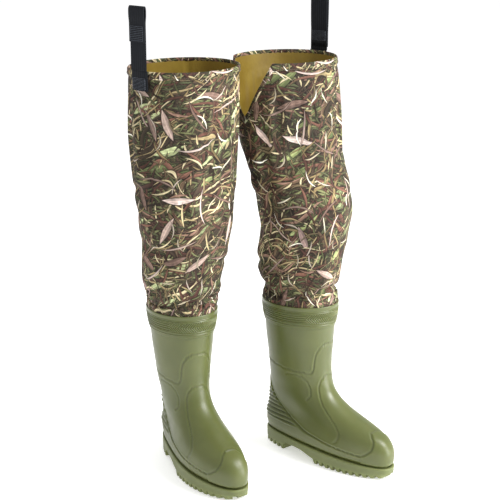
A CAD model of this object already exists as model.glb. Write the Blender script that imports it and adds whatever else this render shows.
"""Looks for a pair of hip waders: moulded boots, printed fabric legs, hems and belt loops."""
import math

import bmesh
import bpy
import numpy as np
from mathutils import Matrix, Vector
from mathutils.kdtree import KDTree


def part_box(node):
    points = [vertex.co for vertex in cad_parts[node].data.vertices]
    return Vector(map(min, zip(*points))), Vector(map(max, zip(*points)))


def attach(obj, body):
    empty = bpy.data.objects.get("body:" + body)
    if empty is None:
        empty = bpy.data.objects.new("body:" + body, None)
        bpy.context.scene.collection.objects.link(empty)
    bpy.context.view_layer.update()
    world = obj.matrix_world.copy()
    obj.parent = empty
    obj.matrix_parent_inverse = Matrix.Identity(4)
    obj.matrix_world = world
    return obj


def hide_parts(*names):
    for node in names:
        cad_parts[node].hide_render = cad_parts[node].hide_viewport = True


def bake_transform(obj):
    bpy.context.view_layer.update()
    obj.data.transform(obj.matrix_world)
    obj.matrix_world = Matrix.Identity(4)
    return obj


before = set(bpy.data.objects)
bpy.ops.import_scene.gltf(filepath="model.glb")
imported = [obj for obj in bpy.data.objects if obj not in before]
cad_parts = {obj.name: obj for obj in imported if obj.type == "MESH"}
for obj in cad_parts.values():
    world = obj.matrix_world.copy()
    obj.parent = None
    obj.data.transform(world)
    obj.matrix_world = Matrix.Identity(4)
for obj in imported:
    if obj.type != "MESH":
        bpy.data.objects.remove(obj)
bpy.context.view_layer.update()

MM = 0.001
SIDES = ("right", "left")
LATERAL = {"right": -1, "left": 1}
BOOT_YAW = {"right": math.radians(-8), "left": math.radians(15.5)}
RIM_YAW = {"right": math.radians(12), "left": math.radians(15.5)}
KNEE = {"right": 9 * MM, "left": 34 * MM}

# The moulded upper, in mm: height, reach to the toe, reach to the heel, half width, foot share.
BOOT_LEVELS = np.array([
    (27, 218, 71, 44.5, 1.0),
    (32, 218, 71, 44.5, 1.0),
    (37, 223, 75, 48, 1.0),
    (52, 224, 76, 48.5, 1.0),
    (64, 219, 74, 47, 1.0),
    (74, 208, 73, 45, 1.0),
    (82, 190, 72, 43, 1.0),
    (92, 162, 70, 41, 0.9),
    (104, 130, 69, 40, 0.7),
    (120, 100, 67, 40, 0.45),
    (140, 80, 65, 41, 0.2),
    (165, 71, 65, 45, 0.0),
    (200, 69, 67, 50, 0.0),
    (240, 71, 71, 55, 0.0),
    (275, 73, 73, 58.5, 0.0),
    (313, 74.5, 74.5, 62, 0.0),
])
# The fabric leg, in mm: height, half width, half depth, share of the knee's forward bend.
LEG_LEVELS = np.array([
    (300, 62.8, 75.4, 0.0),
    (316, 63.2, 75.6, 0.0),
    (348, 66, 77, 0.0),
    (394, 73, 80, 0.3),
    (439, 80, 82, 0.7),
    (485, 87, 87, 1.0),
    (530, 91, 91, 0.9),
    (576, 95, 93, 0.5),
    (640, 101, 93, 0.15),
    (771, 104, 92, 0.0),
])
NOTCH_DEPTH = 110 * MM
NOTCH_HALF_TURN = math.radians(46)
NOTCH_BACK_TURN = math.radians(18)
RIM_TOP = 771 * MM
RIM_RADIUS = 100 * MM
CLOTH_TOP = 768 * MM
FABRIC = 1.2 * MM
SHELL_WALL = 3 * MM
SOLE_LENGTH = 301
HEEL_REACH = 76
SOLE_HALF_WIDTH = 50
WEBBING_THICKNESS = 2.2 * MM
# From the rim's centre out to the middle of the strap that is sewn to it.
STRAP_REACH = 109.7 * MM
# Points nearer to each other than this are one point.
WELD = 0.05 * MM


# ---------------------------------------------------------------- materials

MATH, VECTOR, REMAP = "ShaderNodeMath", "ShaderNodeVectorMath", "ShaderNodeMapRange"
NOISE, WAVES, CELLS = "ShaderNodeTexNoise", "ShaderNodeTexWave", "ShaderNodeTexVoronoi"
PLUS = {"operation": "ADD"}
MINUS = {"operation": "SUBTRACT"}
TIMES = {"operation": "MULTIPLY"}
SCALED = {"operation": "SCALE"}
FLAT_NOISE = {"noise_dimensions": "2D"}
FLAT_CELLS = {"voronoi_dimensions": "2D"}
ABOUT_Z = {"rotation_type": "Z_AXIS"}


def linear(hex_colour):
    """An sRGB hex colour as linear red, green, blue and alpha."""
    parts = [int(hex_colour[i:i + 2], 16) / 255 for i in (1, 3, 5)]
    return [p / 12.92 if p <= 0.04045 else ((p + 0.055) / 1.055) ** 2.4 for p in parts] + [1.0]


def add_node(tree, kind, settings=None, links=None):
    """Adds a node with its settings, and links its inputs to nodes or sockets, or sets them."""
    node = tree.nodes.new(kind)
    for name, value in (settings or {}).items():
        setattr(node, name, value)
    for name, value in (links or {}).items():
        if isinstance(value, bpy.types.Node):
            value = value.outputs[0]
        if isinstance(value, bpy.types.NodeSocket):
            tree.links.new(value, node.inputs[name])
        else:
            node.inputs[name].default_value = value
    return node


def new_material(name, constants):
    """A node material whose shader has these constants on its sockets and is joined up."""
    material = bpy.data.materials.new(name)
    material.use_nodes = True
    tree = material.node_tree
    tree.nodes.clear()
    shader = add_node(tree, "ShaderNodeBsdfPrincipled", None, constants)
    add_node(tree, "ShaderNodeOutputMaterial", links={"Surface": shader.outputs[0]})
    return material, tree, shader


def colour_ramp(tree, pattern, stops, constant=False):
    """The colour of a ramp of (place, hex colour) stops, picked by a pattern."""
    node = add_node(tree, "ShaderNodeValToRGB", None, {"Fac": pattern})
    ramp = node.color_ramp
    ramp.interpolation = "CONSTANT" if constant else "LINEAR"
    while len(ramp.elements) > 1:
        ramp.elements.remove(ramp.elements[-1])
    ramp.elements[0].position = stops[0][0]
    ramp.elements[0].color = linear(stops[0][1])
    for place, colour in stops[1:]:
        ramp.elements.new(place).color = linear(colour)
    return node.outputs[0]


def add_relief(tree, shader, height, strength, depth_mm):
    """Joins a height pattern to the shader as relief of a real depth."""
    bump = add_node(tree, "ShaderNodeBump", None, {
        "Height": height, "Strength": strength, "Distance": depth_mm * MM,
    })
    tree.links.new(bump.outputs[0], shader.inputs["Normal"])


def moulded_pvc(name, dark, light, roughness, grain_mm, grain_depth_mm):
    """Injection-moulded soft PVC: a satin, slightly cloudy green with a fine mould grain."""
    material, tree, shader = new_material(
        name, {"IOR": 1.53, "Subsurface Weight": 0.04, "Subsurface Scale": 0.004}
    )
    place = add_node(tree, "ShaderNodeTexCoord").outputs["Object"]
    cloud = add_node(tree, NOISE, None, {"Vector": place, "Scale": 14, "Detail": 3})
    colour = colour_ramp(tree, cloud, [(0.3, dark), (0.7, light)])
    edges = add_node(tree, "ShaderNodeNewGeometry").outputs["Pointiness"]
    wear = add_node(tree, REMAP, None, {
        "Value": edges, "From Min": 0.47, "From Max": 0.56, "To Min": 0.72, "To Max": 1.18,
    })
    worn = add_node(tree, VECTOR, TIMES, {0: colour, 1: wear}).outputs[0]
    tree.links.new(worn, shader.inputs["Base Color"])
    scuffs = add_node(tree, NOISE, None, {"Vector": place, "Scale": 40, "Detail": 5})
    gloss = add_node(tree, REMAP, None, {
        "Value": scuffs, "From Min": 0.3, "From Max": 0.7,
        "To Min": roughness - 0.07, "To Max": roughness + 0.07,
    }).outputs[0]
    tree.links.new(gloss, shader.inputs["Roughness"])
    grain = add_node(
        tree, NOISE, None, {"Vector": place, "Scale": 1 / (grain_mm * MM), "Detail": 2}
    )
    add_relief(tree, shader, grain, 0.5, grain_depth_mm)
    return material


# The print's palettes: dead leaves, moss, dry reeds and the odd fresh blade.
OUTLINE = "#17120e"
BARK = ["#2c231b", "#40342a", "#4f362d", "#3a3127", "#5b4a39"]
MOSS = ["#41432c", "#585b3d", "#353726", "#6a6c49", "#4c4f37"]
STRAW = ["#92825f", "#aa9b76", "#786849", "#bdb08c", "#635741"]
GREEN = ["#5c6340", "#828a5b", "#4a5233", "#9ba277", "#6a7150"]
RUST = ["#563a30", "#6b4b3e", "#452e27", "#7d6253", "#3e2c26"]
PINK = ["#86716a", "#9b877c", "#6b564c", "#b3a198", "#7a665c"]
PALE = ["#c6bfa9", "#b3a88e", "#a5988a", "#d8d3c3", "#938976"]
# Blades that sweep one way, back to front: length and width in mm, turn in degrees, how far the
# sweep wanders in mm, the share of places filled, and the palette.
SWEPT_BLADES = [
    (36, 6.0, 25, 30, 0.80, BARK),
    (32, 5.0, -40, 30, 0.75, MOSS),
    (44, 6.0, 78, 35, 0.65, BARK),
    (34, 4.0, 12, 30, 0.65, MOSS),
    (70, 13.0, -28, 30, 0.32, GREEN),
    (95, 7.0, -8, 60, 0.42, RUST),
    (120, 5.5, -55, 80, 0.50, BARK),
    (130, 4.6, -32, 90, 0.26, STRAW),
]
# Blades that lie every way, back to front: the side in mm of the patch that holds one blade, its
# width in mm, how much it arches, the share of patches filled, and the palette.
LOOSE_BLADES = [
    (25, 3.2, 0.30, 0.90, STRAW),
    (30, 3.4, 0.40, 0.90, MOSS),
    (46, 4.8, 0.30, 0.80, RUST),
    (27, 2.8, 0.35, 0.85, BARK),
    (62, 13.0, 0.15, 0.40, PINK),
    (50, 3.4, 0.40, 0.80, STRAW),
    (38, 2.8, 0.55, 0.55, PALE),
    (78, 3.8, 0.35, 0.80, PINK),
]
# A blade's half width in its own measure, how fast it narrows to its ends, and the width in mm
# from which it is a leaf with a pale midrib.
BLADE_REACH = 0.36
BLADE_TAPER = 1.6
BROAD_LEAF = 10


def swept_blades(tree, place, index, length, width, turn, wander):
    """For blades that sweep one way: each point's place on its blade, and the blade's own tint."""
    start = add_node(tree, VECTOR, PLUS, {0: place, 1: (0.37 * index, 0.61 * index, 0)})
    noise = add_node(tree, NOISE, FLAT_NOISE, {"Vector": start, "Scale": 7, "Detail": 1.5})
    centred = add_node(tree, VECTOR, MINUS, {0: noise.outputs["Color"], 1: (0.5, 0.5, 0.5)})
    drift = add_node(tree, VECTOR, SCALED, {0: centred, "Scale": 2 * wander * MM})
    bent = add_node(tree, VECTOR, PLUS, {0: start, 1: drift})
    turned = add_node(
        tree, "ShaderNodeVectorRotate", ABOUT_Z, {"Vector": bent, "Angle": math.radians(turn)}
    )
    share = (1 / (length * MM), 2 * BLADE_REACH / (width * MM), 1)
    sized = add_node(tree, VECTOR, TIMES, {0: turned, 1: share})
    cells = add_node(tree, CELLS, FLAT_CELLS, {"Vector": sized, "Scale": 1, "Randomness": 0.8})
    off = add_node(tree, VECTOR, MINUS, {0: sized, 1: cells.outputs["Position"]})
    return off, cells.outputs["Color"]


def loose_blades(tree, place, index, patch, width, arch):
    """For blades that lie every way: each point's place on its blade, and the blade's own tint."""
    start = add_node(tree, VECTOR, PLUS, {0: place, 1: (0.23 * index, 0.47 * index, 0)})
    sized = add_node(tree, VECTOR, SCALED, {0: start, "Scale": 1 / (patch * MM)})
    cells = add_node(tree, CELLS, FLAT_CELLS, {"Vector": sized, "Scale": 1, "Randomness": 0.9})
    tint = add_node(tree, "ShaderNodeSeparateColor", None, {"Color": cells.outputs["Color"]})
    off = add_node(tree, VECTOR, MINUS, {0: sized, 1: cells.outputs["Position"]})
    angle = add_node(tree, MATH, TIMES, {0: tint.outputs[2], 1: 2 * math.pi})
    turned = add_node(tree, "ShaderNodeVectorRotate", ABOUT_Z, {"Vector": off, "Angle": angle})
    local = add_node(tree, "ShaderNodeSeparateXYZ", None, {0: turned})
    along, aside = local.outputs["X"], local.outputs["Y"]
    bend = add_node(tree, MATH, TIMES, {0: tint.outputs[0], 1: 2 * arch})
    squared = add_node(tree, MATH, TIMES, {0: along, 1: along})
    lift = add_node(tree, MATH, TIMES, {0: squared, 1: bend})
    arched = add_node(tree, MATH, PLUS, {0: aside, 1: lift})
    across = add_node(tree, MATH, TIMES, {0: arched, 1: 2 * BLADE_REACH * patch / width})
    placed = add_node(tree, "ShaderNodeCombineXYZ", None, {"X": along, "Y": across})
    return placed, cells.outputs["Color"]


def print_blades(tree, under, off, tint, width, filled, palette):
    """Lays a layer's shaded and streaked blades, with dark outlines, over what is under them."""
    tint = add_node(tree, "ShaderNodeSeparateColor", None, {"Color": tint}).outputs
    local = add_node(tree, "ShaderNodeSeparateXYZ", None, {0: off}).outputs
    aside = add_node(tree, MATH, {"operation": "ABSOLUTE"}, {0: local["Y"]})
    squared = add_node(tree, MATH, TIMES, {0: local["X"], 1: local["X"]})
    taper = add_node(tree, MATH, TIMES, {0: squared, 1: BLADE_TAPER})
    reach = add_node(tree, MATH, PLUS, {0: aside, 1: taper})
    streaks = add_node(tree, NOISE, FLAT_NOISE, {"Vector": off, "Scale": 9, "Detail": 3})
    strength = 1.0
    for value, old, new in (
        (local["Y"], (-BLADE_REACH, BLADE_REACH), (0.6, 1.2)),
        (streaks, (0.3, 0.7), (0.7, 1.25)),
        (aside, (0.01, 0.05), (1.5 if width > BROAD_LEAF else 1.0, 1.0)),
    ):
        part = add_node(tree, REMAP, None, {
            "Value": value,
            "From Min": old[0], "From Max": old[1], "To Min": new[0], "To Max": new[1],
        })
        strength = add_node(tree, MATH, TIMES, {0: strength, 1: part})
    stops = [(i / len(palette), colour) for i, colour in enumerate(palette)]
    picked = colour_ramp(tree, tint[0], stops, constant=True)
    colour = add_node(tree, VECTOR, SCALED, {0: picked, "Scale": strength})
    present = add_node(tree, MATH, {"operation": "LESS_THAN"}, {0: tint[1], 1: filled})
    edge = 0.22 if width < BROAD_LEAF else 0.12
    for ink, low, high, most in (
        (linear(OUTLINE), BLADE_REACH + edge, BLADE_REACH, 0.75),
        (colour, BLADE_REACH, BLADE_REACH - 0.06, 1.0),
    ):
        inside = add_node(tree, REMAP, None, {
            "Value": reach, "From Min": low, "From Max": high, "To Min": 0, "To Max": most,
        })
        share = add_node(tree, MATH, TIMES, {0: present, 1: inside})
        under = add_node(
            tree, "ShaderNodeMix", {"data_type": "RGBA"}, {0: share, 6: under, 7: ink}
        ).outputs[2]
    return under


def threads(tree, place, direction, spacing_mm, wander):
    """Threads side by side at this spacing, as waves."""
    return add_node(tree, WAVES, {"bands_direction": direction}, {
        "Vector": place, "Scale": 0.314 / (spacing_mm * MM), "Distortion": wander,
    }).outputs["Fac"]


def fabric_weave(tree, place, shader, thread_mm, depth_mm):
    """Plain-weave relief, drawn a little coarser than the real thread so that it shows."""
    warp, weft = (threads(tree, place, direction, thread_mm, 0.4) for direction in ("X", "Y"))
    weave = add_node(tree, MATH, TIMES, {0: warp, 1: weft})
    add_relief(tree, shader, weave, 0.35, depth_mm)


def printed_nylon():
    """Matt nylon cloth printed with reeds, twigs and leaves: busy, straw and bark coloured."""
    material, tree, shader = new_material(
        "printed_nylon_cloth", {"Roughness": 0.85, "Specular IOR Level": 0.3, "IOR": 1.5}
    )
    place = add_node(tree, "ShaderNodeUVMap", {"uv_map": "cloth"})
    litter = add_node(tree, NOISE, FLAT_NOISE, {"Vector": place, "Scale": 60, "Detail": 4})
    printed = colour_ramp(
        tree, litter, [(0.3, OUTLINE), (0.5, "#3b3226"), (0.62, "#55523a"), (0.75, "#7d7358")]
    )
    for index, (length, width, turn, wander, filled, palette) in enumerate(SWEPT_BLADES):
        off, tint = swept_blades(tree, place, index, length, width, turn, wander)
        printed = print_blades(tree, printed, off, tint, width, filled, palette)
    for index, (patch, width, arch, filled, palette) in enumerate(LOOSE_BLADES):
        off, tint = loose_blades(tree, place, index, patch, width, arch)
        printed = print_blades(tree, printed, off, tint, width, filled, palette)
    shade = add_node(tree, NOISE, FLAT_NOISE, {"Vector": place, "Scale": 9, "Detail": 2})
    patches = add_node(tree, REMAP, None, {
        "Value": shade, "From Min": 0.35, "From Max": 0.65, "To Min": 1.12, "To Max": 1.8,
    })
    shaded = add_node(tree, VECTOR, SCALED, {0: printed, "Scale": patches}).outputs[0]
    tree.links.new(shaded, shader.inputs["Base Color"])
    fabric_weave(tree, place, shader, 0.9, 0.12)
    return material


def coated_lining():
    """The PVC-coated inside of the cloth: smooth mustard tan with faint mottling."""
    material, tree, shader = new_material(
        "coated_mustard_lining", {"Roughness": 0.5, "IOR": 1.53}
    )
    place = add_node(tree, "ShaderNodeUVMap", {"uv_map": "cloth"})
    mottle = add_node(tree, NOISE, FLAT_NOISE, {"Vector": place, "Scale": 22, "Detail": 4})
    colour = colour_ramp(tree, mottle, [(0.3, "#856c22"), (0.7, "#957d2d")])
    tree.links.new(colour, shader.inputs["Base Color"])
    fabric_weave(tree, place, shader, 1.4, 0.08)
    return material


def woven_webbing():
    """Black polypropylene webbing: lengthwise ribs crossed by fine picks, with a dull sheen."""
    material, tree, shader = new_material(
        "woven_polypropylene_webbing",
        {"Roughness": 0.75, "IOR": 1.49, "Specular IOR Level": 0.25},
    )
    place = add_node(tree, "ShaderNodeUVMap", {"uv_map": "cloth"})
    ribs = threads(tree, place, "X", 2.4, 0.2)
    picks = threads(tree, place, "Y", 1.3, 0.6)
    weave = add_node(tree, MATH, TIMES, {0: ribs, 1: picks})
    colour = colour_ramp(tree, weave, [(0.0, "#0c0e12"), (0.7, "#1f232b")])
    tree.links.new(colour, shader.inputs["Base Color"])
    add_relief(tree, shader, weave, 0.7, 0.35)
    return material


def mottled_finish(name, dark, light, scale, constants):
    """A finish in two soft tones with a little relief, for spun thread, felt and rolled steel."""
    material, tree, shader = new_material(name, constants)
    place = add_node(tree, "ShaderNodeTexCoord").outputs["Object"]
    mottle = add_node(tree, NOISE, None, {"Vector": place, "Scale": scale, "Detail": 5})
    colour = colour_ramp(tree, mottle, [(0.35, dark), (0.65, light)])
    tree.links.new(colour, shader.inputs["Base Color"])
    add_relief(tree, shader, mottle, 0.4, 0.2)
    return material


MOULDED_BOOT = moulded_pvc("moulded_pvc_olive", "#596030", "#656b39", 0.38, 0.9, 0.05)
MOULDED_SOLE = moulded_pvc("moulded_pvc_sole_olive", "#656c3c", "#727948", 0.52, 1.1, 0.09)
PRINTED_NYLON = printed_nylon()
LINING = coated_lining()
WEBBING = woven_webbing()
# Spun polyester thread: dull, and close to the cloth's own straw.
STITCH_TAN = mottled_finish(
    "tan_polyester_thread", "#5d523f", "#766a52", 900, {"Roughness": 0.6, "IOR": 1.53}
)
# Bonded nylon thread: smoother, a shade lighter than the webbing, so the bar stitches show.
THREAD = mottled_finish(
    "bonded_nylon_thread", "#454a54", "#5d636e", 900, {"Roughness": 0.55, "IOR": 1.53}
)
# Needled felt: dark, flecked and without any gloss.
FELT = mottled_finish(
    "felted_footbed", "#2b2b2a", "#474644", 700, {"Roughness": 0.9, "IOR": 1.5}
)
# Rolled sheet steel: grey metal with soft, even highlights.
SHEET_STEEL = mottled_finish(
    "rolled_sheet_steel", "#8a8c90", "#a5a7ab", 300, {"Roughness": 0.35, "Metallic": 1.0}
)


# ---------------------------------------------------------------- mesh helpers

def smooth_rows(table, per_span):
    """Catmull-Rom rows through a table, per_span rows to each span."""
    padded = np.vstack([2 * table[0] - table[1], table, 2 * table[-1] - table[-2]])
    rows = []
    for i in range(1, len(padded) - 2):
        a, b, c, d = padded[i - 1:i + 3]
        for t in np.arange(per_span) / per_span:
            rows.append(
                b + 0.5 * t * (c - a + t * (2 * a - 5 * b + 4 * c - d + t * (3 * (b - c) + d - a)))
            )
    rows.append(table[-1])
    return np.array(rows)


def smoothstep(low, high, value):
    """0 below low, 1 above high, and smooth between."""
    t = np.clip((value - low) / (high - low), 0, 1)
    return t * t * (3 - 2 * t)


def middle_of(node):
    """The middle of a CAD node's box, as x and y."""
    low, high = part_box(node)
    return ((low.x + high.x) / 2, (low.y + high.y) / 2)


def stand_boot(points, side):
    """Points of a boot's own frame, turned and moved to where that boot stands."""
    c, s = np.cos(BOOT_YAW[side]), np.sin(BOOT_YAW[side])
    centre = middle_of(side + "_cuff_band")
    x = points[..., 0] * c - points[..., 1] * s + centre[0]
    y = points[..., 0] * s + points[..., 1] * c + centre[1]
    return np.stack([x, y, points[..., 2]], axis=-1)


def grid_normals(grid):
    """Unit normals of a grid that is closed around its second axis."""
    up = np.gradient(grid, axis=0)
    around = (np.roll(grid, -1, axis=1) - np.roll(grid, 1, axis=1)) / 2
    normal = np.cross(around, up)
    size = np.linalg.norm(normal, axis=-1, keepdims=True)
    return normal / np.maximum(size, 1e-12)


def grid_mesh(name, grid, material, uv=None, loop=False):
    """A mesh of quads from rings; loop joins the last ring to the first."""
    rows, columns = grid.shape[:2]
    spans = rows if loop else rows - 1
    faces = []
    for i in range(spans):
        k = (i + 1) % rows
        for j in range(columns):
            m = (j + 1) % columns
            faces.append((i * columns + j, i * columns + m, k * columns + m, k * columns + j))
    mesh = bpy.data.meshes.new(name)
    mesh.from_pydata(grid.reshape(-1, 3).tolist(), [], faces)
    if uv is not None:
        layer = mesh.uv_layers.new(name="cloth")
        wide, high = uv
        values = []
        for i in range(spans):
            for j in range(columns):
                left, right = wide * j / columns, wide * (j + 1) / columns
                low = high[i]
                top = high[(i + 1) % rows] if i + 1 < rows else high[i] + 0.002
                values += [left, low[j], right, low[(j + 1) % columns]]
                values += [right, top[(j + 1) % columns], left, top[j]]
        layer.data.foreach_set("uv", values)
    return new_piece(name, mesh, material)


def new_object(name, data):
    """An object in the scene, made of a mesh, a lamp or a camera."""
    made = bpy.data.objects.new(name, data)
    bpy.context.scene.collection.objects.link(made)
    return made


def new_piece(name, mesh, material):
    """An object of a smooth-shaded mesh with its material."""
    mesh.materials.append(material)
    mesh.polygons.foreach_set("use_smooth", [True] * len(mesh.polygons))
    return new_object(name, mesh)


def weld(piece):
    """Merges doubled points and makes the normals agree."""
    work = bmesh.new()
    work.from_mesh(piece.data)
    bmesh.ops.remove_doubles(work, verts=work.verts, dist=WELD)
    bmesh.ops.dissolve_degenerate(work, edges=work.edges, dist=WELD)
    bmesh.ops.recalc_face_normals(work, faces=work.faces)
    work.to_mesh(piece.data)
    work.free()
    return piece


def finish_piece(piece, body, slot, *nodes):
    """Rides a piece on its body, names its slot, and stands it in for CAD nodes."""
    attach(piece, body)
    if nodes:
        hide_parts(*nodes)


# ---------------------------------------------------------------- boots

TURNS = 2 * np.pi * np.arange(288) / 288


def toe_shape(points):
    """Thins the sole towards the toe, where its joint with the upper sinks, and lifts its tip."""
    ahead = np.clip((-points[..., 1] - 0.06) / 0.165, 0, 1)
    height = points[..., 2]
    joint = np.clip(height / 0.03, 0, 1) * np.clip((0.09 - height) / 0.06, 0, 1)
    tip = 5 * MM * ahead ** 5 * np.clip(1 - height / 0.03, 0, 1)
    points[..., 2] = height - 9 * MM * ahead ** 1.5 * joint + tip
    return points


def foot_ring(level, grow, lateral):
    """One ring of the boot's form, in its own frame, in metres."""
    height, front, back, half, foot = level
    front, back, half = front + grow, back + grow, half + grow
    ahead, across = np.cos(TURNS), np.sin(TURNS)
    blunt = 1 - 0.2 * foot * np.clip(ahead, 0, 1)
    side = np.sign(across) * np.abs(across) ** blunt
    waist = 1 + foot * (0.13 * np.sin(2.6 * ahead) - 0.13 * ahead * ahead)
    toe_in = -lateral * foot * 9 * np.clip(ahead, 0, 1) ** 2
    x = half * waist * side + toe_in
    y = (back - front) / 2 - (back + front) / 2 * ahead
    return np.stack([x, y, np.full_like(x, height)], axis=-1) * MM


# Moulded seam lines: turn from the toe in degrees, and height in mm.
SHIELD_LINE = [(0, 236), (13, 234), (24, 228), (32, 216), (36, 196), (38, 182), (44, 174),
               (70, 177), (110, 182), (150, 187), (180, 190)]
INSTEP_LINE = [(0, 170), (14, 168), (25, 161), (33, 148), (41, 126), (50, 104), (60, 84), (72, 56)]
ANKLE_LINE = [(92, 168), (76, 170), (62, 167), (53, 157), (51, 143), (56, 130), (68, 121)]
HEEL_LINE = [(180, 150), (163, 146), (150, 134), (139, 116), (128, 94), (116, 74), (100, 58),
             (78, 50), (46, 46)]
TOE_LINE = [(46, 47), (40, 53), (34, 60), (28, 69), (20, 79), (10, 84), (0, 85)]


def line_on_form(grid, rows, line, mirrored):
    """Points in space along a seam line drawn in turn and height."""
    line = np.array(line, float)
    steps = np.linspace(0, len(line) - 1, 16 * len(line))
    turn = np.interp(steps, np.arange(len(line)), line[:, 0])
    height = np.interp(steps, np.arange(len(line)), line[:, 1])
    smooth = np.ones(9) / 9
    turn = np.convolve(np.pad(turn, 4, mode="edge"), smooth, "valid")
    height = np.convolve(np.pad(height, 4, mode="edge"), smooth, "valid")
    if mirrored:
        turn = -turn
    columns = np.round(turn / 360 * grid.shape[1]).astype(int) % grid.shape[1]
    picked = np.round(np.interp(height, rows[:, 0], np.arange(len(rows)))).astype(int)
    return grid[picked, columns]


def distance_to(points, grid):
    """How far each point of the grid is from the nearest of the points."""
    tree = KDTree(len(points))
    for index, point in enumerate(points):
        tree.insert(point, index)
    tree.balance()
    flat = grid.reshape(-1, 3)
    return np.array([tree.find(p)[2] for p in flat]).reshape(grid.shape[:2])


def boot_relief(grid, rows):
    """Raised panels, their seam lines and the heel ribs, as heights off the form in metres."""
    turn = np.degrees(np.abs((TURNS + np.pi) % (2 * np.pi) - np.pi))[None, :]
    height = rows[:, 0][:, None]
    relief = np.zeros(grid.shape[:2])
    for line, depth, width in (
        (SHIELD_LINE, 1.3, 1.4), (INSTEP_LINE, 0.9, 1.5), (ANKLE_LINE, 0.9, 1.4),
        (HEEL_LINE, 1.8, 1.6), (TOE_LINE, 0.5, 1.5),
    ):
        points = np.vstack([line_on_form(grid, rows, line, mirror) for mirror in (False, True)])
        away = distance_to(points, grid) / MM
        relief -= depth * np.exp(-(away / width) ** 2)
        relief += 0.3 * depth * np.exp(-((away - 3.2) / 2.2) ** 2)
    line = np.array(HEEL_LINE, float)[::-1]
    edge = np.interp(turn, line[:, 0], line[:, 1])
    counter = smoothstep(1, 6, edge - height) * smoothstep(88, 108, turn + 0 * height)
    ribs = np.sqrt(0.5 - 0.5 * np.cos(2 * np.pi * (height + 0.08 * (turn - 180)) / 8.2))
    band = smoothstep(55, 58, height) * smoothstep(122, 116, height) * counter
    band = band * smoothstep(108, 118, turn)
    relief += 1.0 * counter * smoothstep(40, 46, height) + 3.2 * band * (ribs - 0.6)
    toe = np.array(TOE_LINE, float)[::-1]
    cap_edge = np.interp(turn, toe[:, 0], toe[:, 1], right=0)
    cap = smoothstep(-1, 3, cap_edge - height) * (turn < 50)
    relief += 1.5 * cap
    spur = np.exp(-((height - 66) / 7) ** 2) * smoothstep(120, 150, turn)
    relief += 2.2 * spur
    fade = smoothstep(30, 36, height)
    return relief * fade * MM


def boot_upper(side):
    """The moulded upper: a hollow shell with raised panels, heel ribs and a toe cap."""
    lateral = LATERAL[side]
    rows = smooth_rows(BOOT_LEVELS, 14)
    outer = np.array([foot_ring(row, 0, lateral) for row in rows])
    relief = boot_relief(outer, rows)
    outer += grid_normals(outer) * relief[..., None]
    inner_rows = rows[::7][::-1].copy()
    inner_rows = inner_rows[inner_rows[:, 0] > 34]
    inner = np.array([foot_ring(row, -SHELL_WALL / MM, lateral) for row in inner_rows])
    inner[0, :, 2] = outer[-1, :, 2]
    lip = (outer[-1] + inner[0]) / 2
    lip[:, 2] += 0.8 * MM
    floor = foot_ring(inner_rows[-1], -SHELL_WALL / MM - 20, lateral)
    under = foot_ring(rows[0], -20, lateral)
    spine_in, spine_out = floor.copy(), under.copy()
    spine_in[:, 0] = spine_in[:, 0].mean()
    spine_out[:, 0] = spine_out[:, 0].mean()
    grid = np.concatenate([
        spine_out[None], under[None], outer, lip[None], inner, floor[None], spine_in[None]
    ])
    grid = stand_boot(toe_shape(grid), side)
    upper = weld(grid_mesh(side + "_moulded_upper", grid, MOULDED_BOOT))
    finish_piece(
        upper, side + "_boot", "moulded_boot",
        side + "_foot_shell", side + "_shaft_shell", side + "_toe_cap", side + "_heel_guard",
    )


def sole_level(height, grow=0.0):
    """A row of the boot's table with the sole's outline."""
    reach = HEEL_REACH + grow
    return (height, SOLE_LENGTH - HEEL_REACH + grow, reach, SOLE_HALF_WIDTH + grow, 1.0)


def sole_bottom(y):
    """Height of the sole's underside, in metres: it rises at the arch, steeply at the heel."""
    behind = smoothstep(16 * MM, 4 * MM, y)
    before = smoothstep(-78 * MM, -28 * MM, y)
    return (8 + 9 * behind * before) * MM


def sole_body(side):
    """The outsole's slab and heel, with a welt lip above and a crease under the upper."""
    lateral = LATERAL[side]
    profile = [
        (29, -9), (30.2, -2.6), (30.4, -1.2), (30, -0.2),
        (28.8, 0.5), (26, 0.8), (22, 0.7), (18, 0.4),
    ]
    rings = [foot_ring(sole_level(z, grow), 0, lateral) for z, grow in profile]
    for share, grow in ((0.5, 0.3), (0.9, 0.1), (1.0, -1.0)):
        ring = foot_ring(sole_level(18, grow), 0, lateral)
        ring[:, 2] = ring[:, 2] * (1 - share) + sole_bottom(ring[:, 1]) * share
        rings.append(ring)
    for share in np.linspace(0.9, 0.0, 10):
        ring = rings[10].copy()
        ring[:, 0] = ring[:, 0] * share
        rings.append(ring)
    top = rings[0].copy()
    top[:, 0] *= 0
    return np.array([top] + rings)


# Tread rows under the forefoot and the heel: first and last place, spacing and width, in mm.
LUG_ROWS = [(-216, -74, 13.6, 11.5), (14, 68, 13.2, 10.5)]
LUG_TOP = 12 * MM
LUG_BEVEL = 0.8 * MM
# How much of its length a tread block keeps at the ground, how far it slants and how far it
# stands from the sole's middle.
LUG_KEEP = 0.45
LUG_SLANT = 5 * MM
LUG_GAP = 5 * MM


def lug(corners):
    """A tread block over four plan corners, cut back behind so that it ends as a saw tooth."""
    corners = np.array(corners)
    low = corners.copy()
    low[2] = corners[1] + (corners[2] - corners[1]) * LUG_KEEP
    low[3] = corners[0] + (corners[3] - corners[0]) * LUG_KEEP
    centre = low.mean(axis=0)
    tip = centre + (low - centre) * 0.94
    return [
        np.column_stack([points, np.full(4, height)])
        for points, height in ((corners, LUG_TOP), (low, LUG_BEVEL), (tip, 0.0))
    ]


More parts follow.
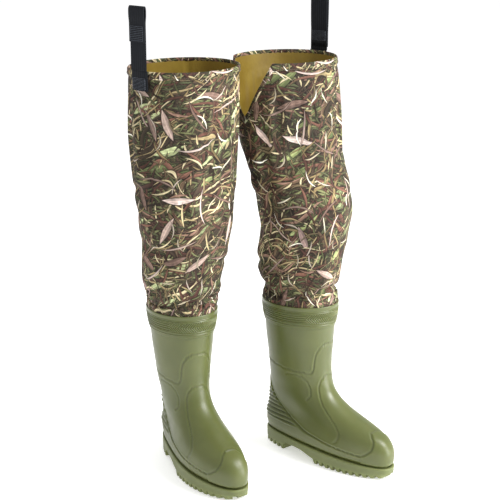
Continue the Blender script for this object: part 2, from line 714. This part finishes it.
def sole_lugs(side):
    """Tread blocks in two columns, angled, out to the sole's edge."""
    lateral = LATERAL[side]
    outline = foot_ring(sole_level(10), 0, lateral)
    blocks = []
    places = [
        (start, width) for first, last, spacing, width in LUG_ROWS
        for start in np.arange(first, last, spacing)
    ]
    for start, width in places:
        for sign in (-1, 1):
            edge = outline[np.sign(outline[:, 0]) == sign]
            edge = edge[np.argsort(edge[:, 1])]
            y_low, y_high = start * MM, (start + width) * MM
            x_low = np.interp(y_low, edge[:, 1], edge[:, 0])
            x_high = np.interp(y_high, edge[:, 1], edge[:, 0])
            inner = sign * LUG_GAP
            blocks.append(lug([
                (inner, y_low - LUG_SLANT), (x_low, y_low),
                (x_high, y_high), (inner, y_high - LUG_SLANT),
            ]))
    return blocks


def outsole(side):
    """The moulded sole: slab, heel, welt lip and tread blocks, as one mesh."""
    body = stand_boot(toe_shape(sole_body(side)), side)
    piece = grid_mesh(side + "_moulded_outsole", body, MOULDED_SOLE)
    work = bmesh.new()
    work.from_mesh(piece.data)
    for rings in sole_lugs(side):
        placed = [stand_boot(toe_shape(ring), side) for ring in rings]
        verts = [[work.verts.new(p) for p in ring] for ring in placed]
        work.faces.new(verts[0])
        work.faces.new(verts[-1][::-1])
        for low, high in zip(verts, verts[1:]):
            for j in range(4):
                work.faces.new((low[j], high[j], high[(j + 1) % 4], low[(j + 1) % 4]))
    work.to_mesh(piece.data)
    work.free()
    weld(piece)
    finish_piece(piece, side + "_boot", "moulded_sole", side + "_outsole", side + "_welt")


# The cuff's fine beads, below and above its patterned zone: height, depth and width in mm.
CUFF_BEADS = [(11, 0.9, 1.0), (6, 0.7, 0.8), (32, 0.9, 0.9), (35, 0.6, 0.7)]
# Spacing of the cuff's ribs and of its slanted hatching, and the band's mean radius, in mm.
RIB_PITCH = 4.3
HATCH_PITCH = 4.6
CUFF_RADIUS = 68
# Its half width and half depth at the foot, and what each gains to the top; and the half width
# and half depth of its inner rings, from the top down, in mm.
CUFF_OUTSIDE = [(59.3, 6.9), (74.6, 4.2)]
CUFF_INSIDE = [(64.7, 77.4), (64.7, 77.4), (61, 75), (58.6, 73.8)]


def cuff(side):
    """The moulded band over the weld: a plain lip, ribs, and hatching at the front."""
    low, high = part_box(side + "_cuff_band")
    foot, top = low.z, high.z
    heights = np.linspace(foot, top, 150)
    turns = 2 * np.pi * np.arange(720) / 720
    share = ((heights - foot) / (top - foot))[:, None]
    half, deep = ((size + gain * share) * MM for size, gain in CUFF_OUTSIDE)
    above = (heights[:, None] - foot) / MM
    relief = sum(
        depth * np.exp(-((above - place) / width) ** 2) for place, depth, width in CUFF_BEADS
    )
    zone = smoothstep(12, 13.5, above) * smoothstep(31, 29.5, above)
    ribs = 0.5 + 0.5 * np.cos(2 * np.pi * (above - 13) / RIB_PITCH)
    along = turns[None, :] * CUFF_RADIUS
    hatch = 0.5 + 0.5 * np.cos(2 * np.pi * (along + 0.9 * np.abs(above - 21.5)) / HATCH_PITCH)
    front = np.degrees(np.abs((turns - np.pi / 2 + np.pi) % (2 * np.pi) - np.pi))[None, :]
    hatched = smoothstep(52, 50, front) + smoothstep(128, 130, front)
    relief = relief + zone * 1.1 * (hatched * hatch + (1 - hatched) * ribs)
    edge = smoothstep(0, 0.02, share) * smoothstep(1.0, 0.965, share)
    raised = (1.35 * relief * edge - 0.8 * (1 - edge)) * MM
    half, deep = half + raised, deep + raised
    x = half * np.cos(turns)[None, :]
    y = -deep * np.sin(turns)[None, :]
    outer = np.stack([x, y, np.repeat(heights[:, None], len(turns), 1)], axis=-1)
    inner = outer[[-1, 110, 40, 0]].copy()
    for ring, (a, b) in zip(inner, CUFF_INSIDE):
        ring[:, 0] = a * MM * np.cos(turns)
        ring[:, 1] = -b * MM * np.sin(turns)
    grid = stand_boot(np.concatenate([outer, inner]), side)
    band = weld(grid_mesh(side + "_moulded_cuff", grid, MOULDED_BOOT, loop=True))
    finish_piece(band, side + "_boot", "moulded_boot", side + "_cuff_band")


# ---------------------------------------------------------------- fabric legs

LEG_COLUMNS = 168
LEG_TURNS = 2 * np.pi * np.arange(LEG_COLUMNS) / LEG_COLUMNS
LEG_ROWS = smooth_rows(LEG_LEVELS, 8)
# Creases: height in mm, turn in degrees from the outer side towards the back, half height in mm,
# half span in degrees, depth in mm and slope in mm per degree.
CREASES = {
    "right": [(560, 165, 9, 40, 6, 0.25), (535, 10, 8, 45, 7, -0.2), (505, 60, 10, 40, 4, 0.1),
              (450, 200, 8, 40, 5, -0.2), (420, 330, 9, 45, 5, 0.2), (385, 250, 8, 50, 4, 0.1),
              (352, 300, 6, 60, 3.5, 0.1), (600, 260, 10, 40, 3, -0.3), (355, 100, 7, 50, 4, -0.1)],
    "left": [(575, 170, 9, 40, 6, 0.2), (520, 180, 8, 35, 4, -0.2), (540, 350, 9, 45, 5, 0.2),
             (470, 30, 8, 40, 5, 0.15), (430, 250, 9, 50, 4, -0.15), (400, 150, 8, 45, 4, 0.2),
             (350, 270, 6, 60, 3.5, -0.1), (610, 290, 10, 40, 3, 0.3), (360, 60, 7, 50, 4, 0.1)],
}


def notch_turn(side):
    """Where the V is around the leg: the inner thigh, a little towards the back."""
    return np.pi - NOTCH_BACK_TURN if LATERAL[side] > 0 else NOTCH_BACK_TURN


def notch_drop(turns, side):
    """How far the rim falls at each turn: an open V on the left, none where it hangs closed."""
    if side == "right":
        return 0 * turns
    off = np.abs((turns - notch_turn(side) + np.pi) % (2 * np.pi) - np.pi)
    share = np.clip(1 - off / NOTCH_HALF_TURN, 0, 1)
    return NOTCH_DEPTH * (share - 0.06 * smoothstep(0.8, 1, share))


def leg_points(side, heights, turns, grow):
    """Points of the leg's form at heights and turns, both arrays of one shape, in metres."""
    boot, rim = middle_of(side + "_cuff_band"), RIM_CENTRE[side]
    low, high = LEG_LEVELS[1][0] * MM, LEG_LEVELS[-1][0] * MM
    share = np.clip((heights - low) / (high - low), 0, 1.02)
    yaw = BOOT_YAW[side] * (1 - share) + RIM_YAW[side] * share
    across, deep, bend = (
        np.interp(heights / MM, LEG_ROWS[:, 0], LEG_ROWS[:, column]) for column in (1, 2, 3)
    )
    knee = bend * KNEE[side]
    x, y = (across * MM + grow) * np.cos(turns), (deep * MM + grow) * np.sin(turns)
    cx = boot[0] * (1 - share) + rim[0] * share + knee * np.sin(yaw)
    cy = boot[1] * (1 - share) + rim[1] * share - knee * np.cos(yaw)
    return np.stack([
        cx + x * np.cos(yaw) - y * np.sin(yaw), cy + x * np.sin(yaw) + y * np.cos(yaw), heights
    ], axis=-1)


def rim_centre(side):
    """The rim's centre, inwards from the strap that is sewn to its outer side."""
    x, y = middle_of(side + "_strap_anchor")
    reach = LATERAL[side] * STRAP_REACH
    return x - reach * math.cos(RIM_YAW[side]), y - reach * math.sin(RIM_YAW[side])


RIM_CENTRE = {side: rim_centre(side) for side in SIDES}


def crease_depth(side, heights, turns):
    """How far the cloth is pushed in at each point by its creases, in metres."""
    depth = np.zeros_like(heights)
    degrees = np.degrees(turns)
    for height, turn, tall, span, deep, slope in CREASES[side]:
        off = (degrees - turn + 180) % 360 - 180
        line = height + slope * off
        near = np.exp(-((heights / MM - line) / tall) ** 2)
        ridge = np.exp(-((heights / MM - line - 2.2 * tall) / (1.5 * tall)) ** 2)
        along = np.exp(-(off / span) ** 2)
        depth += along * (deep * near - 0.45 * deep * ridge)
    return depth * MM


def ripple(heights, turns, side):
    """Soft uneven waves of slack cloth, in metres."""
    z, t = heights / MM, turns
    phase = 1.3 if side == "left" else 0.0
    slack = smoothstep(316, 360, z) * smoothstep(765, 690, z)
    waves = 1.5 * np.sin(3 * t + z / 34 + phase) + 1.1 * np.sin(5 * t - z / 21 + 2 * phase)
    waves += 0.8 * np.sin(8 * t + z / 13 + phase) + 0.6 * np.sin(2 * t + z / 9.5 + 1.7)
    return waves * slack * MM


# Light nylon that hardly stretches, with some spare length, and the steps it is given to settle.
CLOTH_SETTINGS = {
    "quality": 5, "mass": 0.15, "tension_stiffness": 25, "compression_stiffness": 25,
    "shear_stiffness": 12, "bending_stiffness": 1.2, "shrink_min": -0.045,
}
CLOTH_STEPS = 22
# No point may move further than this.
CLOTH_REACH = 9 * MM


def drape(piece, pinned):
    """Lets the cloth buckle as real cloth does with a little spare length, then applies it."""
    rest = np.array([v.co for v in piece.data.vertices])
    group = piece.vertex_groups.new(name="pinned")
    for index, weight in enumerate(pinned):
        if weight > 0:
            group.add([index], float(weight), "REPLACE")
    cloth = piece.modifiers.new("cloth", "CLOTH")
    cloth.settings.vertex_group_mass = "pinned"
    for name, value in CLOTH_SETTINGS.items():
        setattr(cloth.settings, name, value)
    cloth.settings.effector_weights.gravity = 0.35
    cloth.collision_settings.use_collision = False
    cloth.collision_settings.use_self_collision = False
    cloth.point_cache.frame_end = CLOTH_STEPS
    for step in range(1, CLOTH_STEPS + 1):
        bpy.context.scene.frame_set(step)
    shaped = piece.evaluated_get(bpy.context.evaluated_depsgraph_get()).to_mesh()
    moved = np.array([v.co for v in shaped.vertices])
    piece.modifiers.clear()
    piece.vertex_groups.clear()
    bpy.context.scene.frame_set(1)
    push = moved - rest
    size = np.linalg.norm(push, axis=1, keepdims=True)
    push *= np.minimum(1, CLOTH_REACH / np.maximum(size, 1e-9))
    piece.data.vertices.foreach_set("co", (rest + push).ravel())
    piece.data.update()
    print(piece.name, "largest cloth movement", round(float(size.max()) * 1000, 1), "mm")


def fabric_leg(side):
    """The printed cloth leg with its coated inside, hung from the rim down to the shaft."""
    row_count = 132
    share = np.linspace(0, 1, row_count)[:, None]
    low = LEG_LEVELS[0][0] * MM
    tops = CLOTH_TOP - notch_drop(LEG_TURNS, side)[None, :]
    heights = low + (tops - low) * share
    turns = np.repeat(LEG_TURNS[None, :], row_count, 0)
    grid = leg_points(side, heights, turns, FABRIC / 2)
    offset = ripple(heights, turns, side) - crease_depth(side, heights, turns)
    seam_turn = 0.25 * np.pi if side == "right" else 0.75 * np.pi
    seam = np.exp(-((turns - seam_turn) * 85 / 5) ** 4)
    offset = offset * smoothstep(0.312, 0.335, heights) + 0.0009 * seam
    grid += grid_normals(grid) * offset[..., None]
    print_shift = 3.7 if side == "left" else 0.0
    piece = grid_mesh(side + "_fabric_leg", grid, PRINTED_NYLON, uv=(0.56, heights + print_shift))
    piece.data.materials.append(LINING)
    at_rim = smoothstep(0.86, 0.97, share + 0 * heights)
    held = np.maximum(smoothstep(0.33, 0.315, heights), at_rim)
    drape(piece, held.ravel())
    thick = piece.modifiers.new("thickness", "SOLIDIFY")
    thick.thickness = FABRIC
    thick.offset = -1
    thick.use_even_offset = False
    thick.material_offset = 1
    thick.material_offset_rim = 0
    apply_modifiers(piece)
    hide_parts(side + "_leg")
    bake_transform(piece)
    return piece


def declare_cloth(side):
    """Says that a fabric leg is cloth hung from its rim, and the size that it was cut to."""
    girths = np.pi * (LEG_ROWS[:, 1] + LEG_ROWS[:, 2]) * MM
    steps = np.diff(LEG_ROWS[:, 0]) * MM
    area = float(np.sum((girths[1:] + girths[:-1]) / 2 * steps))
    if side == "left":
        area -= girths[-1] * NOTCH_HALF_TURN / (2 * math.pi) * NOTCH_DEPTH


def apply_modifiers(piece):
    """Replaces the mesh by what its modifiers make of it."""
    made = bpy.data.meshes.new_from_object(
        piece.evaluated_get(bpy.context.evaluated_depsgraph_get())
    )
    piece.modifiers.clear()
    piece.data = made


def rim_hem(side):
    """The cloth folded over at the rim: a soft roll with the print on both faces."""
    columns = 336
    turns = 2 * np.pi * np.arange(columns) / columns
    top = RIM_TOP - notch_drop(turns, side)
    profile = [(-12.5, 1.3), (-12, 1.9), (-6, 2.1), (-1.5, 2.2), (0.3, 1.3), (0.9, 0.2),
               (0.3, -1.0), (-1.5, -1.6), (-3.5, -1.5), (-5.5, -1.4), (-6.2, -0.7), (-7, 0.4)]
    rings, highs = [], []
    for fall, out in profile:
        heights = top + fall * MM
        pucker = 0.25 * MM * np.sin(turns * 61) * (1 if fall < -2 else 0)
        grow = FABRIC / 2 + out * MM + pucker
        rings.append(leg_points(side, heights, turns, grow))
        highs.append(heights + 0.05)
    piece = grid_mesh(
        side + "_rim_roll", np.array(rings), PRINTED_NYLON, uv=(0.62, np.array(highs)), loop=True
    )
    weld(piece)
    finish_piece(piece, side + "_rim", "printed_fabric", side + "_rim_hem")
    hem_stitches(side, turns, top)
    return piece


def closed_notch(side):
    """The two folded edges of a V that hangs closed, side by side down the inner thigh."""
    profile = np.array([
        (-9, 0.2), (-8, 1.3), (-5, 1.8), (-2, 1.7), (-0.5, 0.9), (0.5, 0.9), (2, 1.7),
        (5, 1.8), (8, 1.3), (9, 0.2), (5, -0.6), (-5, -0.6),
    ])
    heights = np.linspace(RIM_TOP - MM - NOTCH_DEPTH, CLOTH_TOP - 0.5 * MM, 40)
    spread = smoothstep(0, 0.25, np.linspace(0, 1, 40)) * 0.75 + 0.25
    rings = []
    for height, share in zip(heights, spread):
        turns = notch_turn(side) + profile[:, 0] * share * MM / RIM_RADIUS
        grow = FABRIC / 2 + profile[:, 1] * MM
        rings.append(leg_points(side, np.full(len(profile), height), turns, grow))
    highs = np.repeat(heights[:, None] + 0.3, len(profile), 1)
    piece = grid_mesh(side + "_closed_notch", np.array(rings), PRINTED_NYLON, uv=(0.04, highs))
    close_ends(piece, len(profile))
    finish_piece(piece, side + "_rim", "printed_fabric")
    return piece


def close_ends(piece, count):
    """Closes a tube's first and last rings of count points."""
    work = bmesh.new()
    work.from_mesh(piece.data)
    work.verts.ensure_lookup_table()
    work.faces.new([work.verts[i] for i in range(count)])
    work.faces.new([work.verts[len(work.verts) - 1 - i] for i in range(count)])
    bmesh.ops.recalc_face_normals(work, faces=work.faces)
    work.to_mesh(piece.data)
    work.free()


def capsules(name, starts, ends, radius, material):
    """A short round-ended stitch between each start and end, all in one mesh."""
    work = bmesh.new()
    for a, b in zip(starts, ends):
        along = Vector(b) - Vector(a)
        side = along.orthogonal().normalized()
        other = along.normalized().cross(side)
        rings = []
        for share, size in ((-0.12, 0.35), (0.0, 0.9), (0.5, 1.1), (1.0, 0.9), (1.12, 0.35)):
            centre = Vector(a) + along * share
            rings.append([
                work.verts.new(
                    centre + (side * math.cos(t) + other * math.sin(t)) * radius * size
                )
                for t in (math.pi / 3 * k for k in range(6))
            ])
        work.faces.new(rings[0][::-1])
        work.faces.new(rings[-1])
        for low, high in zip(rings, rings[1:]):
            for j in range(6):
                work.faces.new((low[j], low[(j + 1) % 6], high[(j + 1) % 6], high[j]))
    bmesh.ops.recalc_face_normals(work, faces=work.faces)
    mesh = bpy.data.meshes.new(name)
    work.to_mesh(mesh)
    work.free()
    return new_piece(name, mesh, material)


def hem_stitches(side, turns, top):
    """A row of lockstitch 9.5 mm below the hem's top, one stitch to each 3.6 mm or so."""
    count = 172
    spots = 2 * np.pi * np.arange(count) / count
    heights = np.interp(spots, turns, top, period=2 * np.pi) - 9.5 * MM
    path = leg_points(side, heights, spots, FABRIC / 2 + 2.7 * MM)
    ends = path + (np.roll(path, -1, axis=0) - path) * 0.62
    piece = capsules(side + "_hem_stitches", path, ends, 0.35 * MM, STITCH_TAN)
    finish_piece(piece, side + "_rim", "printed_fabric")


# ---------------------------------------------------------------- straps

def strap_frame(side):
    """The strap's middle plane, and the directions outwards and along its width."""
    middle = Vector((*middle_of(side + "_strap_anchor"), 0))
    yaw = RIM_YAW[side]
    out = LATERAL[side] * Vector((math.cos(yaw), math.sin(yaw), 0))
    wide = Vector((-math.sin(yaw), math.cos(yaw), 0))
    return middle, out, wide


def webbing(side, name, path, body, nodes, bow=0.0):
    """A strap with rounded selvedges, smoothly through (outwards, upwards) points in mm."""
    middle, out, wide = strap_frame(side)
    line = smooth_rows(np.array(path, float), 10) * MM
    tangent = np.gradient(line, axis=0)
    tangent /= np.linalg.norm(tangent, axis=1, keepdims=True)
    normal = np.column_stack([tangent[:, 1], -tangent[:, 0]])
    half, thick = 19 * MM, WEBBING_THICKNESS / 2
    section = [(-1, -0.5), (-0.985, -0.9), (-0.9, -1), (-0.5, -1), (0, -1), (0.5, -1), (0.9, -1),
               (0.985, -0.9), (1, -0.5)]
    section += [(-w, -h) for w, h in section]
    rings = []
    for point, across in zip(line, normal):
        ring = []
        for w, h in section:
            curve = -bow * MM * w * w
            flat = point + across * (h * thick) + np.array([curve, 0])
            place = middle + out * float(flat[0]) + wide * (w * half)
            ring.append((place.x, place.y, float(flat[1])))
        rings.append(ring)
    length = np.concatenate([[0], np.cumsum(np.linalg.norm(np.diff(line, axis=0), axis=1))])
    highs = np.repeat(length[:, None], len(section), 1)
    piece = grid_mesh(name, np.array(rings), WEBBING, uv=(0.0795, highs))
    close_ends(piece, len(section))
    finish_piece(piece, body, "webbing", *nodes)


def stitch_box(side, name, foot, top, out_mm, body):
    """A sewn box with crossed rows, as bar stitches through the webbing's outer face."""
    middle, out, wide = strap_frame(side)
    rows = []
    for height in np.linspace(foot, top, 9):
        rows.append(((-15.5, height), (15.5, height)))
    for edge in (-15.5, 15.5):
        rows.append(((edge, foot), (edge, top)))
    starts, ends = [], []
    for (w0, h0), (w1, h1) in rows:
        long = math.hypot(w1 - w0, h1 - h0)
        count = max(2, int(long / 3.1))
        for k in range(count):
            a, b = (k + 0.15) / count, (k + 0.8) / count
            for store, t in ((starts, a), (ends, b)):
                place = middle + out * (out_mm * MM) + wide * ((w0 + (w1 - w0) * t) * MM)
                store.append((place.x, place.y, (h0 + (h1 - h0) * t) * MM))
    piece = capsules(name, starts, ends, 0.42 * MM, THREAD)
    finish_piece(piece, body, "webbing")


# Where the loop is sewn to its own strap, from its foot to its top, in mm.
STITCH_ZONE = {"right": (822, 852), "left": (779, 811)}
# The rows of stitches there: the left ones stay clear of the sewn end when the strap hangs down.
STITCH_ROWS = {"right": (825, 849), "left": (791, 809)}


def strap(side):
    """The sewn end on the leg, the riser, and the belt loop folded over at its top."""
    anchor_low, anchor_high = (p.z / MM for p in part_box(side + "_strap_anchor"))
    loop_low, loop_high = (p.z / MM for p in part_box(side + "_strap_loop"))
    sewn = [(-0.9, anchor_low), (-0.8, anchor_low + 10)]
    free = [(0, anchor_low + 24), (0, anchor_high + 0.7)]
    webbing(
        side, side + "_strap_end", sewn + free,
        side + "_rim", [side + "_strap_anchor"], bow=1.6,
    )
    foot, top = STITCH_ZONE[side]
    fold = loop_high - 1.5
    middle = (top + fold) / 2
    rise = [(0, loop_low - 0.3), (0, loop_low + 12), (0, foot), (0, top)]
    open_up = [(-0.5, top + 8), (-1.3, middle), (-1.2, fold - 4), (0.7, fold)]
    back_down = [(3.4, fold - 4), (3.6, middle), (3.0, top + 8), (2.5, top), (2.5, foot)]
    webbing(
        side, side + "_belt_loop", rise + open_up + back_down,
        side + "_strap", [side + "_strap_loop"],
    )
    low_row, high_row = STITCH_ROWS[side]
    stitch_box(side, side + "_loop_stitches", low_row, high_row, 3.8, side + "_strap")
    stitch_box(side, side + "_loop_stitches_inside", low_row, high_row, -1.25, side + "_strap")
    stitch_box(side, side + "_end_stitches", anchor_low + 3, anchor_low + 22, 0.75, side + "_rim")


# ---------------------------------------------------------------- stage

def stage():
    """A pale floor and backdrop, soft studio lights and the camera."""
    bpy.ops.mesh.primitive_plane_add(size=60, location=(0, 0, -0.0005))
    floor = bpy.context.object
    floor.name = "floor"
    material = new_material("pale_matt_floor", {
        "Base Color": linear("#f6f6f6"), "Roughness": 0.9,
        "Emission Color": linear("#ffffff"), "Emission Strength": 0.45,
    })[0]
    floor.data.materials.append(material)
    world = bpy.data.worlds.new("studio")
    world.use_nodes = True
    sky = world.node_tree.nodes["Background"].inputs
    sky["Color"].default_value = (1, 1, 1, 1)
    sky["Strength"].default_value = 0.62
    bpy.context.scene.world = world
    bpy.context.scene.view_settings.view_transform = "Standard"
    for name, place, power, size in (
        ("key", (1.2, -1.6, 2.3), 84, 1.3),
        ("low_front", (0.9, -1.35, 0.4), 17, 0.8),
        ("rear", (0.8, 2.4, 2.4), 30, 2.0),
    ):
        data = bpy.data.lights.new(name, "AREA")
        data.energy = power
        data.size = size
        lamp = new_object(name, data)
        lamp.location = place
        aim = Vector((0, 0, 0.4)) - Vector(place)
        lamp.rotation_euler = aim.to_track_quat("-Z", "Y").to_euler()


def camera():
    """The camera: a long lens above rim height, to the right of the pair, looking down a little."""
    data = bpy.data.cameras.new("camera")
    data.lens = 94.5
    data.sensor_width = 36
    view = new_object("camera", data)
    view.location = (-1.374, -1.882, 1.103)
    heading = math.radians(35.65)
    dip = math.radians(16.1)
    ahead = Vector((
        math.sin(heading) * math.cos(dip), math.cos(heading) * math.cos(dip), -math.sin(dip)
    ))
    view.rotation_euler = ahead.to_track_quat("-Z", "Y").to_euler()
    bpy.context.scene.camera = view


def paint_node(node, material):
    """Gives a carried-over CAD node its material."""
    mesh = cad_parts[node].data
    mesh.materials.clear()
    mesh.materials.append(material)


stage()
camera()
for side in SIDES:
    boot_upper(side)
    outsole(side)
    cuff(side)
    leg = fabric_leg(side)
    sewn_on = [rim_hem(side)]
    if side == "right":
        sewn_on.append(closed_notch(side))
    declare_cloth(side)
    strap(side)
    paint_node(side + "_insole", FELT)
    paint_node(side + "_shank", SHEET_STEEL)
